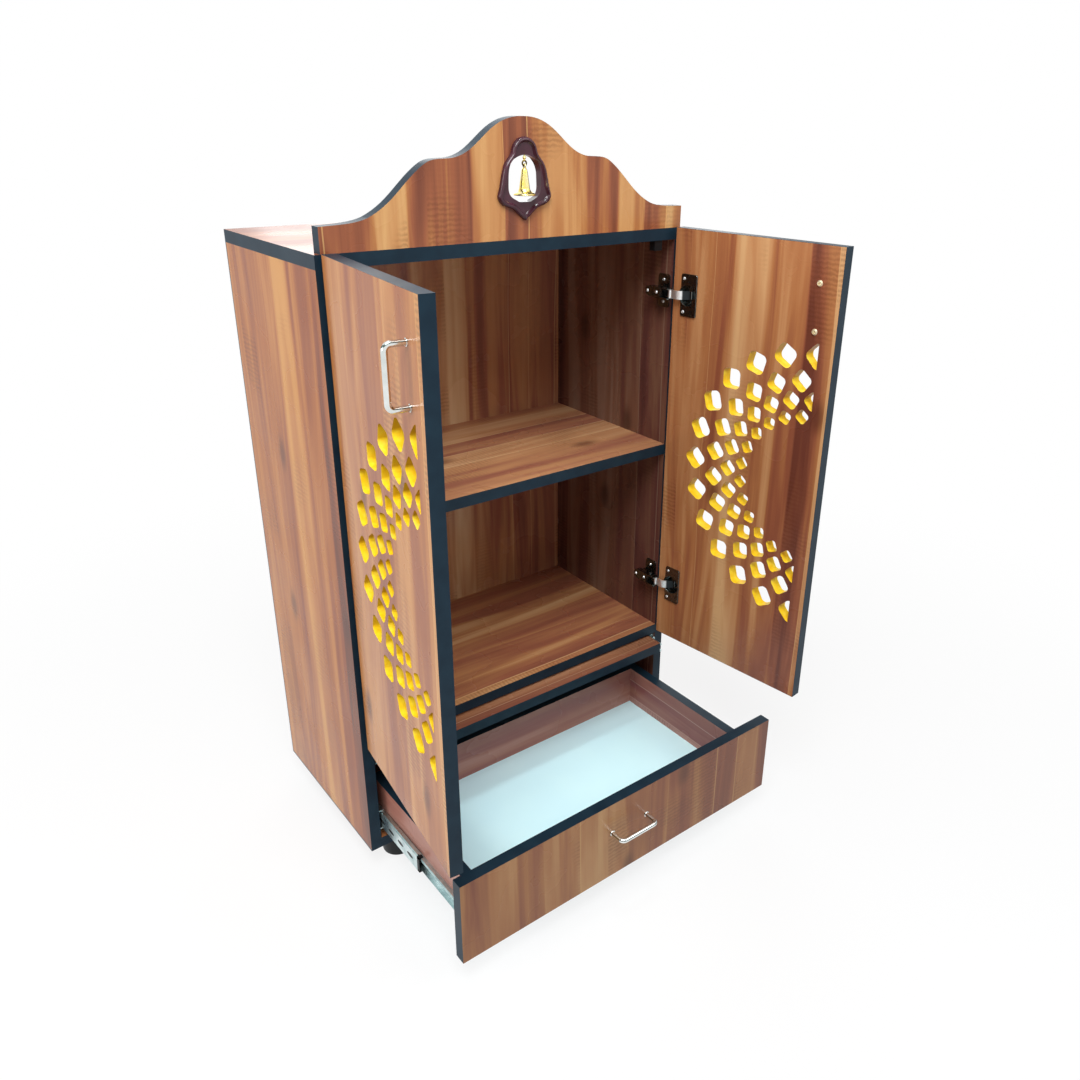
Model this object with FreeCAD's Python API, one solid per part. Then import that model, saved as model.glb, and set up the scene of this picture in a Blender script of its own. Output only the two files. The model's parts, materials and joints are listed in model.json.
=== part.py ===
# Pooja mandir: a home shrine cabinet with pierced doors, a pull-out tray and a drawer.
# Lengths are millimetres, +Z is up and -Y is the front.
import math
import os

import FreeCAD
import Part
from FreeCAD import Vector

# Carcass
board = 18.0
carcass_width = 610.0
carcass_depth = 316.0
carcass_height = 917.0
back_thickness = 12.0
foot_height = 45.0
middle_shelf_top = 560.0
bottom_shelf_top = 206.0

# Crown board and its bell opening
crown_side_inset = 8.0
crown_end_height = 32.0
crown_shoulder_inner_x = 106.0
crown_shoulder_outer_x = 150.0
crown_shoulder_height = 104.0
crown_apex_height = 156.5
crown_foot_x = 232.0
crown_foot_height = 39.0
bell_frame_top = 131.5
bell_frame_head_radius = 20.0
bell_frame_flanks = [(20.3, 112.5), (24.8, 105.8), (31.0, 98.5), (35.2, 88.0), (38.0, 76.0), (41.0, 64.0)]
bell_frame_half_width = 43.0
bell_frame_lip_height = 55.5
bell_frame_underside = [(37.5, 47.3), (28.5, 43.2), (20.0, 40.4), (13.5, 35.6), (6.5, 29.7)]
bell_frame_point_height = 25.0
bell_frame_bead = [(0.0, 0.0), (4.2, 0.3), (6.2, 1.6), (7.0, 3.4)]
bell_frame_crest_width = 0.8
bell_frame_bead_width = 7.0
bell_frame_floor = 3.2
bell_frame_seat = 2.5
bell_frame_sleeve = 8.0
bell_frame_wall = 2.0
bell_frame_gap = 0.3
opening_top_height = 108.8
opening_shoulder = [(12.2, 106.2), (20.5, 101.0), (24.7, 92.9)]
opening_half_width = 26.5
opening_middle_height = 74.0
opening_hip = [(25.6, 61.5), (22.0, 56.2), (12.4, 50.9)]
opening_bottom_height = 49.2

# Feet
foot_radius = 29.0
foot_taper = 4.0
foot_side_inset = 61.0
foot_end_inset = 33.0

# Doors
door_width = 297.0
door_below_shelf = 6.5
door_above_top = 1.5
door_overlay = 12.5
door_closed_gap = 5.0
door_pivot_from_edge = 7.2
door_pivot_depth = 10.5
door_rest_angle = 96.5

# Pierced pattern of the doors
pattern_free_edge_margin = 25.0
pattern_below_middle = 2.0
pattern_step = 15.0
pattern_radii = [207.0, 169.0, 140.5, 115.5]
petal_half_lengths = [19.0, 17.0, 14.5, 11.0]
petal_half_widths = [19.0, 16.0, 14.0, 11.0]
petal_corner_radii = [8.5, 7.0, 6.0, 4.8]

# Wire handles
handle_spacing = 68.0
handle_projection = 28.0
handle_wire_radius = 3.6
handle_bend_radius = 7.0
handle_foot_radius = 4.4
handle_foot_length = 1.5
door_handle_from_edge = 35.0
door_handle_from_top = 86.3
drawer_handle_from_top = 53.3
drawer_handle_from_middle = -6.5

# Concealed hinges
upper_hinge_from_top = 101.0
lower_hinge_from_bottom = 106.5
cup_from_edge = 30.0
cup_radius = 17.5
cup_wall = 1.4
cup_depth = 11.0
cup_fit = 0.2
flange_height = 66.0
flange_width = 14.0
flange_corner = 5.0
flange_thickness = 1.6
arm_plate_height = 53.0
arm_plate_length = 26.0
arm_plate_start = 5.0
arm_plate_thickness = 2.0
arm_length = 38.0
arm_height = 17.0
arm_tail_height = 12.0
arm_foot_length = 24.0
arm_wall = 1.5
arm_stand_off = 13.0
arm_depth = 10.0
arm_cheek_reach = 13.5
arm_cheek_depth = 13.0
link_pin_from_panel = 14.0
link_pin_depth = 10.0
link_pin_radius = 1.6
link_pin_gap = 0.15
link_eye_radius = 3.0
link_thickness = 2.2
link_tip_radius = 1.5
link_side_gap = 0.3
link_bends = [(13.0, 22.5), (19.5, 27.5)]
link_tip_gap = 0.3
link_tip_bearing = 149.0
cup_post_radius = 2.0
cup_post_height = 12.0
cup_post_from_edge = 32.4
cup_post_below_face = 6.0

# Corner catch below the top panel
catch_width = 15.0
catch_depth = 12.0
catch_height = 16.0
catch_from_side = 24.0
catch_setback = 3.0

# Drawer
drawer_front_reveal = 2.0
drawer_front_bottom = 4.0
drawer_front_height = 137.0
drawer_side_height = 73.0
drawer_floor_gap = 9.0
drawer_bottom_thickness = 6.0
drawer_back_gap = 9.0
drawer_pull_out = 254.0

# Pull-out tray
tray_shelf_gap = 4.0
tray_back_gap = 8.0
tray_pull_out = 30.0

# Telescopic slides
slide_width = 13.0
slide_back_gap = 1.0
slide_steel = 1.2
slide_setback = 3.0
slide_middle_recess = 8.0
slide_rail_depth = 9.0
slide_middle_depth = 8.0
slide_web_gap = 1.8
slide_lip_gap = 1.4
slide_ball_width = 3.0
slide_ball_gap = 0.3
drawer_slide_height = 35.0
drawer_slide_middle_height = 27.0
drawer_slide_runner_height = 20.0
drawer_slide_above_side_foot = 17.0
tray_slide_height = 26.0
tray_slide_middle_height = 20.0
tray_slide_runner_height = 13.0
tray_slide_below_top = 13.0

# Hanging bell
bell_from_board = 2.0
bell_rim_radius = 15.5
bell_rim_height = 58.5
bell_height = 34.0
bell_flare = [(1.0, 0.0), (0.9, 0.045), (0.66, 0.105), (0.52, 0.17), (0.45, 0.3), (0.36, 0.6)]
bell_crown_radius = 3.3
bell_crown_drop = 1.5
bell_wall = 1.3
bell_loop_radius = 2.6
bell_loop_wire = 0.9
hook_wire = 1.1
hook_radius = 3.2
hook_play = 0.1
hook_collar_radius = 2.3
hook_collar_below_roof = 3.5
clapper_radius = 2.6

half_width = carcass_width / 2.0
inner_half_width = half_width - board
pull_half_width = inner_half_width - slide_width
slide_length = carcass_depth - back_thickness - slide_setback - slide_back_gap
door_bottom = bottom_shelf_top - door_below_shelf
door_top = carcass_height + door_above_top
door_pivot_x = inner_half_width + door_overlay - door_pivot_from_edge
door_pivot_y = -door_closed_gap - door_pivot_depth
drawer_side_bottom = board + drawer_floor_gap + drawer_bottom_thickness
drawer_box_length = carcass_depth - back_thickness - drawer_back_gap + door_closed_gap
tray_top = bottom_shelf_top - board - tray_shelf_gap
tray_length = carcass_depth - back_thickness - tray_back_gap
crown_half_width = half_width - crown_side_inset


def box(x0, x1, y0, y1, z0, z1):
    """Block between two corners."""
    return Part.makeBox(x1 - x0, y1 - y0, z1 - z0, Vector(x0, y0, z0))


def front_reach():
    """How far the open doors' free edges stand in front of the carcass."""
    swing = math.radians(door_rest_angle)
    swept = (door_width - door_pivot_from_edge) * math.sin(swing) - door_pivot_depth * math.cos(swing)
    return swept - door_pivot_y


def placed(shape):
    """Move a shape from carcass axes to axes centred on the footprint, at the floor."""
    moved = shape.copy()
    moved.translate(Vector(0, (front_reach() - carcass_depth) / 2.0, foot_height))
    return moved


def mirrored(shape):
    """Left copy of a right-hand shape."""
    return shape.mirror(Vector(0, 0, 0), Vector(1, 0, 0))


def turned(shape, angle):
    """Turn a right-hand door piece about the hinge axis, closed at zero."""
    moved = shape.copy()
    moved.rotate(Vector(door_pivot_x, door_pivot_y, 0), Vector(0, 0, 1), angle)
    return moved


def side_panel():
    """Right side, standing on the feet and carrying the top."""
    return box(inner_half_width, half_width, 0, carcass_depth, 0, carcass_height - board)


def shelf(top):
    """Board between the sides, in front of the back panel."""
    depth = carcass_depth - back_thickness
    return box(-inner_half_width, inner_half_width, 0, depth, top - board, top)


def back_panel():
    """Thin board closing the back between the sides."""
    front = carcass_depth - back_thickness
    return box(-inner_half_width, inner_half_width, front, carcass_depth, 0, carcass_height - board)


def foot(x, y):
    """Round moulded foot, slightly tapered, below the base panel."""
    cone = Part.makeCone(foot_radius - foot_taper, foot_radius, foot_height, Vector(x, y, -foot_height))
    edges = [e for e in cone.Edges if abs(e.BoundBox.ZMax + foot_height) < 0.01 and e.BoundBox.XLength > 1]
    return cone.makeFillet(3.0, edges)


def crown_outline():
    """Right half of the crown's curved top, from the apex to the end, as edges."""
    base = carcass_height
    apex = Vector(0, 0, base + crown_apex_height)
    inner = Vector(crown_shoulder_inner_x, 0, base + crown_shoulder_height + 3.0)
    outer = Vector(crown_shoulder_outer_x, 0, base + crown_shoulder_height - 4.0)
    hollow = Vector(crown_foot_x, 0, base + crown_foot_height)
    end = Vector(crown_half_width, 0, base + crown_end_height)
    upper = Part.BezierCurve()
    upper.setPoles([
        apex,
        Vector(inner.x * 0.52, 0, apex.z + 1.0),
        Vector(inner.x * 0.62, 0, inner.z + 8.0),
        inner,
    ])
    shoulder = Part.BezierCurve()
    shoulder.setPoles([
        inner,
        Vector(inner.x + 16.0, 0, inner.z - 3.2),
        Vector(outer.x - 14.0, 0, outer.z + 8.5),
        outer,
    ])
    sweep = Part.BezierCurve()
    sweep.setPoles([
        outer,
        Vector(outer.x + 31.0, 0, outer.z - 19.0),
        Vector(hollow.x - 38.0, 0, hollow.z + 16.0),
        hollow,
    ])
    tail = Part.BezierCurve()
    tail.setPoles([
        hollow,
        Vector(hollow.x + 17.0, 0, hollow.z - 6.0),
        Vector(end.x - 30.0, 0, end.z + 1.0),
        end,
    ])
    return [upper.toShape(), shoulder.toShape(), sweep.toShape(), tail.toShape()]


def shifted(points, before, after, sideways):
    """Points moved to the left of their course by a distance, between two neighbours."""
    line = [before] + points + [after]
    moved = []
    for index in range(1, len(line) - 1):
        x, z = line[index]
        along = Vector(line[index + 1][0] - line[index - 1][0], 0, line[index + 1][1] - line[index - 1][1])
        along.normalize()
        moved.append((x - along.z * sideways, z + along.x * sideways))
    return moved


def symmetric_wire(points, grow, round_foot):
    """Smooth closed wire from its right half above the top panel, grown outward by a distance."""
    before = (-points[1][0], points[1][1])
    after = (-points[-2][0], points[-2][1])
    course = [Vector(x, 0, carcass_height + z) for x, z in shifted(points, before, after, grow)]
    free = len(course) - 2
    tangents = [Vector(1, 0, 0)] + [Vector(0, 0, 0)] * free + [Vector(-1, 0, 0)]
    flags = [True] + [False] * free + [round_foot]
    curve = Part.BSplineCurve()
    curve.interpolate(Points=course, Tangents=tangents, TangentFlags=flags)
    half = curve.toShape()
    return Part.Wire(Part.__sortEdges__([half, mirrored(half)]))


def bell_outline(grow):
    """Outline of the surround: a round head, hollow flanks, lips and a pointed foot."""
    centre = bell_frame_top - bell_frame_head_radius
    points = [(0.0, bell_frame_top)]
    for angle in (33.0, 64.0):
        across = bell_frame_head_radius * math.sin(math.radians(angle))
        up = bell_frame_head_radius * math.cos(math.radians(angle))
        points.append((across, centre + up))
    points += bell_frame_flanks
    points.append((bell_frame_half_width, bell_frame_lip_height))
    points += bell_frame_underside
    points.append((0.0, bell_frame_point_height))
    return symmetric_wire(points, grow, False)


def opening_outline(grow):
    """Arched hole for the bell."""
    points = [(0.0, opening_top_height)]
    points += opening_shoulder
    points.append((opening_half_width, opening_middle_height))
    points += opening_hip
    points.append((0.0, opening_bottom_height))
    return symmetric_wire(points, grow, True)


def slab(wire, y0, y1):
    """Plate between two depths from a wire drawn in the XZ plane."""
    face = Part.Face(wire)
    solid = face.extrude(Vector(0, y1 - y0, 0))
    solid.translate(Vector(0, y0, 0))
    return solid


def crown_board():
    """Arched board on the top panel, with the bell hole cut through."""
    right = crown_outline()
    base = carcass_height
    end_top = Vector(crown_half_width, 0, base + crown_end_height)
    end_low = Vector(crown_half_width, 0, base)
    left_top = Vector(-crown_half_width, 0, base + crown_end_height)
    left_low = Vector(-crown_half_width, 0, base)
    edges = right + [mirrored(e) for e in right]
    edges.append(Part.makeLine(end_top, end_low))
    edges.append(Part.makeLine(end_low, left_low))
    edges.append(Part.makeLine(left_low, left_top))
    plate = slab(Part.Wire(Part.__sortEdges__(edges)), 0, board)
    hole = slab(bell_outline(-bell_frame_seat), -1, board + 1)
    sleeve_room = slab(opening_outline(bell_frame_wall + bell_frame_gap), -1, board + 1)
    return plate.cut([hole, sleeve_room])


def raised_wires(profile):
    """Copies of the surround's outline, each moved inward and forward."""
    wires = []
    for forward, inset in profile:
        wire = bell_outline(-inset)
        wire.translate(Vector(0, -forward, 0))
        wires.append(wire)
    return wires


def bell_frame():
    """Moulded surround: a raised bead round a sunk face, with a sleeve into the board."""
    domed = Part.makeLoft(raised_wires(bell_frame_bead), True, False)
    crest, crest_inset = bell_frame_bead[-1]
    pocket = Part.makeLoft(raised_wires([
        (bell_frame_floor, bell_frame_bead_width),
        (crest, crest_inset + bell_frame_crest_width),
        (crest + 1.0, crest_inset + bell_frame_crest_width / 2.0),
    ]), True, False)
    sleeve = slab(opening_outline(bell_frame_wall), -bell_frame_floor / 2.0, bell_frame_sleeve)
    hole = slab(opening_outline(0), -crest - 2.0, bell_frame_sleeve + 1)
    return domed.cut(pocket).fuse(sleeve).cut(hole).removeSplitter()


def bell_loop_height():
    """Centre of the bell's own loop."""
    crown = carcass_height + bell_rim_height + bell_height
    return crown + bell_loop_radius - bell_loop_wire * 0.4


def bell_pivot_height():
    """Centre of the hook wire that the bell's loop hangs on."""
    return bell_loop_height() + bell_loop_radius - bell_loop_wire - hook_wire - hook_play


def bell_hook():
    """Screw eye with a round collar in the head of the bell opening, hanging down."""
    top = carcass_height + opening_top_height
    ring_z = bell_pivot_height() + hook_radius
    ring = Part.makeTorus(hook_radius, hook_wire, Vector(0, -bell_from_board, ring_z), Vector(0, 1, 0))
    stem_start = ring_z + hook_radius
    stem = Part.makeCylinder(hook_wire, top - stem_start + 1.5, Vector(0, -bell_from_board, stem_start))
    collar = Part.makeSphere(hook_collar_radius, Vector(0, -bell_from_board, top - hook_collar_below_roof))
    return ring.fuse([stem, collar]).cut(sleeve_roof())


def sleeve_roof():
    """The surround's own material above the hook."""
    ring = slab(opening_outline(bell_frame_wall), -bell_frame_floor, bell_frame_sleeve)
    return ring.cut(slab(opening_outline(0), -bell_frame_floor - 1, bell_frame_sleeve + 1))


def bell():
    """Brass bell turned from its profile, with a wide thin brim, hanging loop and clapper."""
    rim = carcass_height + bell_rim_height
    crown = bell_height - bell_crown_drop
    flare = [(bell_rim_radius * across, bell_height * up) for across, up in bell_flare]
    flare.append((bell_crown_radius, crown))
    before = (2.0 * flare[0][0] - flare[1][0], 2.0 * flare[0][1] - flare[1][1])
    after = (2.0 * flare[-1][0] - flare[-2][0], 2.0 * flare[-1][1] - flare[-2][1])
    hollow = shifted(flare, before, after, bell_wall)
    outer = Part.BSplineCurve()
    outer.interpolate([Vector(x, 0, rim + z) for x, z in flare])
    inner = Part.BSplineCurve()
    inner.interpolate([Vector(x, 0, rim + z) for x, z in hollow])
    top_out = Vector(bell_crown_radius, 0, rim + crown)
    top_in = Vector(hollow[-1][0], 0, rim + hollow[-1][1])
    shoulder = Vector(bell_crown_radius - bell_crown_drop, 0, rim + bell_height)
    summit = Vector(0, 0, rim + bell_height)
    roof = Vector(0, 0, top_in.z)
    edges = [
        outer.toShape(),
        Part.makeLine(top_out, shoulder),
        Part.makeLine(shoulder, summit),
        Part.makeLine(summit, roof),
        Part.makeLine(roof, top_in),
        inner.toShape(),
        Part.makeLine(Vector(hollow[0][0], 0, rim + hollow[0][1]), Vector(flare[0][0], 0, rim)),
    ]
    profile = Part.Face(Part.Wire(Part.__sortEdges__(edges)))
    cup = profile.revolve(Vector(0, 0, 0), Vector(0, 0, 1), 360)
    loop_centre = Vector(0, 0, bell_loop_height())
    loop = Part.makeTorus(bell_loop_radius, bell_loop_wire, loop_centre, Vector(1, 0, 0))
    rod = Part.makeCylinder(0.8, top_in.z - rim - 0.5, Vector(0, 0, rim + 1.0))
    ball = Part.makeSphere(clapper_radius, Vector(0, 0, rim + 1.5))
    solid = cup.fuse([loop, rod, ball])
    solid.translate(Vector(0, -bell_from_board, 0))
    return solid


def petal(half_length, half_width, corner):
    """Rounded four-sided petal about the origin in XZ, long way along X."""
    right = Vector(half_length, 0, 0)
    up = Vector(0, 0, half_width)
    left = Vector(-half_length, 0, 0)
    down = Vector(0, 0, -half_width)
    shape = Part.Face(Part.makePolygon([right, up, left, down, right])).extrude(Vector(0, 40, 0))
    shape.translate(Vector(0, -20, 0))
    edges = [e for e in shape.Edges if e.BoundBox.YLength > 39]
    return shape.makeFillet(corner, edges)


def door_cuts():
    """Pierced crescent of petals in the closed right door."""
    free_x = inner_half_width + door_overlay - door_width
    centre_x = free_x + pattern_free_edge_margin
    centre_z = (door_bottom + door_top) / 2.0 - pattern_below_middle
    cuts = []
    for ring in range(len(pattern_radii)):
        radius = pattern_radii[ring]
        tip_shift = petal_corner_radii[ring] * 0.4
        base = petal(
            petal_half_lengths[ring] + tip_shift,
            petal_half_widths[ring] + tip_shift,
            petal_corner_radii[ring],
        )
        offset = 0.0 if ring % 2 == 0 else pattern_step / 2.0
        angle = -90.0 + offset
        while angle <= 90.001:
            hole = base.copy()
            hole.translate(Vector(radius, 0, 0))
            hole.rotate(Vector(0, 0, 0), Vector(0, 1, 0), -angle)
            hole.translate(Vector(centre_x, -door_closed_gap - board / 2.0, centre_z))
            if abs(angle) > 89.0:
                keep = box(centre_x, centre_x + 60, -60, 40, door_bottom, door_top)
                hole = hole.common(keep)
            cuts.append(hole)
            angle += pattern_step
    return cuts


def hinge_heights():
    """Heights of the upper and the lower hinge."""
    return [door_top - upper_hinge_from_top, door_bottom + lower_hinge_from_bottom]


def cup_centre_x():
    """Cup centre of the closed right door."""
    return inner_half_width + door_overlay - cup_from_edge


def door_panel():
    """Closed right door: board, pierced pattern and blind cup holes."""
    edge = inner_half_width + door_overlay
    panel = box(edge - door_width, edge, -door_closed_gap - board, -door_closed_gap, door_bottom, door_top)
    tools = door_cuts()
    for height in hinge_heights():
        tools.append(Part.makeCylinder(
            cup_radius + cup_fit,
            cup_depth + cup_fit,
            Vector(cup_centre_x(), -door_closed_gap - cup_depth - cup_fit, height),
            Vector(0, 1, 0),
        ))
    return panel.cut(tools)


def cup_post_centre():
    """The cup's upright post on the closed right door."""
    return inner_half_width + door_overlay - cup_post_from_edge, -door_closed_gap - cup_post_below_face


def hinge_cup(height):
    """Pressed cup and screw flange of the closed right door."""
    face = -door_closed_gap
    x = cup_centre_x()
    outer = Part.makeCylinder(cup_radius, cup_depth, Vector(x, face - cup_depth, height), Vector(0, 1, 0))
    low = height - flange_height / 2.0
    high = low + flange_height
    half = flange_width / 2.0
    flange = box(x - half, x + half, face, face + flange_thickness, low, high)
    corners = [e for e in flange.Edges if e.BoundBox.YLength > flange_thickness - 0.01]
    flange = flange.makeFillet(flange_corner, corners)
    shell = outer.fuse(flange)
    inner_radius = cup_radius - cup_wall
    hollow = Part.makeCylinder(
        inner_radius,
        cup_depth + flange_thickness,
        Vector(x, face - cup_depth + cup_wall, height),
        Vector(0, 1, 0),
    )
    disc = Part.makeCylinder(cup_radius, flange_thickness, Vector(x, face, height), Vector(0, 1, 0))
    cup = shell.fuse(disc).cut(hollow)
    post_x, post_y = cup_post_centre()
    post_low = height - cup_post_height / 2.0
    post = Part.makeCylinder(cup_post_radius, cup_post_height, Vector(post_x, post_y, post_low))
    bed_low = face - cup_depth + cup_wall * 0.5
    post_high = post_low + cup_post_height
    bed = box(post_x - cup_post_radius, post_x + cup_post_radius, bed_low, post_y, post_low, post_high)
    return cup.fuse([post, bed]).removeSplitter()


def link_pin_centre():
    """Pin at the front of the right hinge arm."""
    return inner_half_width - link_pin_from_panel, -link_pin_depth


def link_tip_centre():
    """Tip of the link beside the cup's post, with the right door open."""
    post = turned(Part.Vertex(*cup_post_centre(), 0), door_rest_angle).Point
    reach = cup_post_radius + link_tip_radius + link_tip_gap
    bearing = math.radians(link_tip_bearing)
    return post.x + reach * math.cos(bearing), post.y + reach * math.sin(bearing)


def hinge_arm(height):
    """Winged plate on the side panel, with an arm whose two cheeks hold the link's pin."""
    x1 = inner_half_width
    z0 = height - arm_plate_height / 2.0
    y0 = arm_plate_start
    plate = box(x1 - arm_plate_thickness, x1, y0, y0 + arm_plate_length, z0, z0 + arm_plate_height)
    ends = [e for e in plate.Edges if e.BoundBox.XLength > arm_plate_thickness - 0.01]
    plate = plate.makeFillet(5.0, ends)
    low = height - arm_height / 2.0
    high = low + arm_height
    near = x1 - arm_stand_off
    far = near - arm_depth
    foot_block = box(near, x1, y0, y0 + arm_foot_length, low + arm_wall, high - arm_wall)
    tail = (arm_height - arm_tail_height) / 2.0
    bend = y0 + arm_foot_length
    side = Part.makePolygon([
        Vector(far, y0, low),
        Vector(far, bend, low),
        Vector(far, arm_length, low + tail),
        Vector(far, arm_length, high - tail),
        Vector(far, bend, high),
        Vector(far, y0, high),
        Vector(far, y0, low),
    ])
    bar = Part.Face(side).extrude(Vector(arm_depth, 0, 0))
    corners = [e for e in bar.Edges if e.BoundBox.XLength > arm_depth - 0.01 and e.BoundBox.YMin > bend + 1]
    bar = bar.makeFillet(3.0, corners)
    pieces = [foot_block, bar]
    for z in (low, high - arm_wall):
        cheek = box(far, far + arm_cheek_depth, -arm_cheek_reach, arm_plate_start + 3.0, z, z + arm_wall)
        noses = [e for e in cheek.Edges if e.BoundBox.ZLength > arm_wall - 0.01 and e.BoundBox.YMax < 0]
        pieces.append(cheek.makeFillet(4.0, noses))
    pin_x, pin_y = link_pin_centre()
    pieces.append(Part.makeCylinder(link_pin_radius, arm_height - 0.4, Vector(pin_x, pin_y, low + 0.2)))
    return plate.fuse(pieces).removeSplitter()


def hinge_link(height):
    """Bent link of an open right hinge, from the arm's pin to the post in the cup."""
    tall = arm_height - 2.0 * (arm_wall + link_side_gap)
    low = height - tall / 2.0
    pin_x, pin_y = link_pin_centre()
    tip_x, tip_y = link_tip_centre()
    bends = [Vector(inner_half_width - inward, -forward, low) for inward, forward in link_bends]
    course = Part.BezierCurve()
    course.setPoles([Vector(pin_x, pin_y, low)] + bends + [Vector(tip_x, tip_y, low)])
    sides = [[], []]
    steps = 12
    for index in range(steps + 1):
        at = index / steps
        point = course.value(at)
        along = course.tangent(at)[0]
        across = Vector(-along.y, along.x, 0) * (link_thickness / 2.0)
        sides[0].append(point + across)
        sides[1].append(point - across)
    left = Part.BSplineCurve()
    left.interpolate(sides[0])
    right = Part.BSplineCurve()
    right.interpolate(sides[1])
    outline = Part.Wire(Part.__sortEdges__([
        left.toShape(),
        right.toShape(),
        Part.makeLine(sides[0][0], sides[1][0]),
        Part.makeLine(sides[0][-1], sides[1][-1]),
    ]))
    strip = Part.Face(outline).extrude(Vector(0, 0, tall))
    eye = Part.makeCylinder(link_eye_radius, tall, Vector(pin_x, pin_y, low))
    tip = Part.makeCylinder(link_tip_radius, tall, Vector(tip_x, tip_y, low))
    hole = Part.makeCylinder(link_pin_radius + link_pin_gap, tall + 2, Vector(pin_x, pin_y, low - 1))
    return strip.fuse([eye, tip]).cut(hole)


def wire_handle():
    """D-shaped wire pull: grip along Z, legs along -Y, on a face at y = 0."""
    half = handle_spacing / 2.0
    reach = handle_projection - handle_wire_radius
    bend = handle_bend_radius
    low_start = Vector(0, 0, -half)
    low_turn = Vector(0, -reach + bend, -half)
    low_end = Vector(0, -reach, -half + bend)
    high_end = Vector(0, -reach, half - bend)
    high_turn = Vector(0, -reach + bend, half)
    high_start = Vector(0, 0, half)
    slope = bend * (1.0 - math.sqrt(0.5))
    low_mid = Vector(0, -reach + slope, -half + slope)
    high_mid = Vector(0, -reach + slope, half - slope)
    path = Part.Wire([
        Part.makeLine(low_start, low_turn),
        Part.Arc(low_turn, low_mid, low_end).toShape(),
        Part.makeLine(low_end, high_end),
        Part.Arc(high_end, high_mid, high_turn).toShape(),
        Part.makeLine(high_turn, high_start),
    ])
    ring = Part.Wire([Part.makeCircle(handle_wire_radius, low_start, Vector(0, -1, 0))])
    wire = path.makePipeShell([ring], True, True)
    feet = []
    for end in (low_start, high_start):
        feet.append(Part.makeCylinder(handle_foot_radius, handle_foot_length, end, Vector(0, -1, 0)))
    return wire.fuse(feet)


def door_handle():
    """Handle on the outer face of the closed right door."""
    x = inner_half_width + door_overlay - door_width + door_handle_from_edge
    handle = wire_handle()
    handle.translate(Vector(x, -door_closed_gap - board, door_top - door_handle_from_top))
    return handle


def drawer_handle():
    """Handle across the drawer front."""
    handle = wire_handle()
    handle.rotate(Vector(0, 0, 0), Vector(0, 1, 0), 90)
    height = drawer_front_bottom + drawer_front_height - drawer_handle_from_top
    handle.translate(Vector(drawer_handle_from_middle, -drawer_pull_out - board, height))
    return handle


def channel(x0, x1, height, centre, y0, y1, opens_inward):
    """Pressed steel channel: web on one side, two flanges, on the right-hand side."""
    z0 = centre - height / 2.0
    z1 = centre + height / 2.0
    outer = box(x0, x1, y0, y1, z0, z1)
    if opens_inward:
        inner = box(x0 - 1, x1 - slide_steel, y0 - 1, y1 + 1, z0 + slide_steel, z1 - slide_steel)
    else:
        inner = box(x0 + slide_steel, x1 + 1, y0 - 1, y1 + 1, z0 + slide_steel, z1 - slide_steel)
    return outer.cut(inner)


def ball_rows(x, height, race_height, centre, y0, y1):
    """Two rows of balls in their cages, standing off a channel's flanges."""
    x1 = x + slide_ball_width
    seat = height / 2.0 - slide_steel / 2.0
    race = race_height / 2.0
    low = box(x, x1, y0, y1, centre - race, centre - seat)
    high = box(x, x1, y0, y1, centre + seat, centre + race)
    return [low, high]


def slide_rail(height, centre):
    """Fixed member on the right side panel."""
    x1 = inner_half_width
    y0 = slide_setback
    return channel(x1 - slide_rail_depth, x1, height, centre, y0, y0 + slide_length, True)


def slide_middle(height, rail_height, centre, pull_out):
    """Middle member, half way out, with the balls that run in the fixed rail."""
    x1 = inner_half_width - slide_steel - slide_web_gap
    x0 = x1 - slide_middle_depth
    y0 = slide_setback + slide_middle_recess - pull_out / 2.0
    y1 = y0 + slide_length - slide_middle_recess
    race = rail_height - 2.0 * (slide_steel + slide_ball_gap)
    body = channel(x0, x1, height, centre, y0, y1, True)
    return body.fuse(ball_rows(x1 - 4.5, height, race, centre, y0, y1)).removeSplitter()


def slide_runner(height, middle_height, centre, pull_out):
    """Member screwed to the drawer or tray, with the balls that run in the middle member."""
    y0 = slide_setback - pull_out
    x1 = inner_half_width - slide_steel * 2.0 - slide_web_gap - slide_lip_gap
    race = middle_height - 2.0 * (slide_steel + slide_ball_gap)
    body = channel(pull_half_width, x1, height, centre, y0, y0 + slide_length, False)
    return body.fuse(ball_rows(x1 - 4.0, height, race, centre, y0, y0 + slide_length)).removeSplitter()


def drawer_front():
    """Overlay front of the drawer."""
    half = half_width - drawer_front_reveal
    y1 = -drawer_pull_out
    z0 = drawer_front_bottom
    return box(-half, half, y1 - board, y1, z0, z0 + drawer_front_height)


def drawer_side():
    """Right side of the drawer box."""
    x1 = pull_half_width
    y0 = -drawer_pull_out
    z0 = drawer_side_bottom
    return box(x1 - board, x1, y0, y0 + drawer_box_length, z0, z0 + drawer_side_height)


def drawer_back():
    """Back of the drawer box, between its sides."""
    half = pull_half_width - board
    y1 = -drawer_pull_out + drawer_box_length
    z0 = drawer_side_bottom
    return box(-half, half, y1 - board, y1, z0, z0 + drawer_side_height)


def drawer_bottom():
    """White panel below the drawer box."""
    half = pull_half_width
    y0 = -drawer_pull_out
    z1 = drawer_side_bottom
    return box(-half, half, y0, y0 + drawer_box_length, z1 - drawer_bottom_thickness, z1)


def tray_board():
    """Pull-out board on its slides."""
    half = pull_half_width
    y0 = -tray_pull_out
    return box(-half, half, y0, y0 + tray_length, tray_top - board, tray_top)


def corner_catch():
    """Small black block below the top panel, near the right door's hinge side."""
    x1 = inner_half_width - catch_from_side
    z1 = carcass_height - board
    y0 = catch_setback
    block = box(x1 - catch_width, x1, y0, y0 + catch_depth, z1 - catch_height, z1)
    edges = [e for e in block.Edges if e.BoundBox.ZMax < z1 - catch_height + 0.01]
    return block.makeFillet(1.5, edges)


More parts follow.
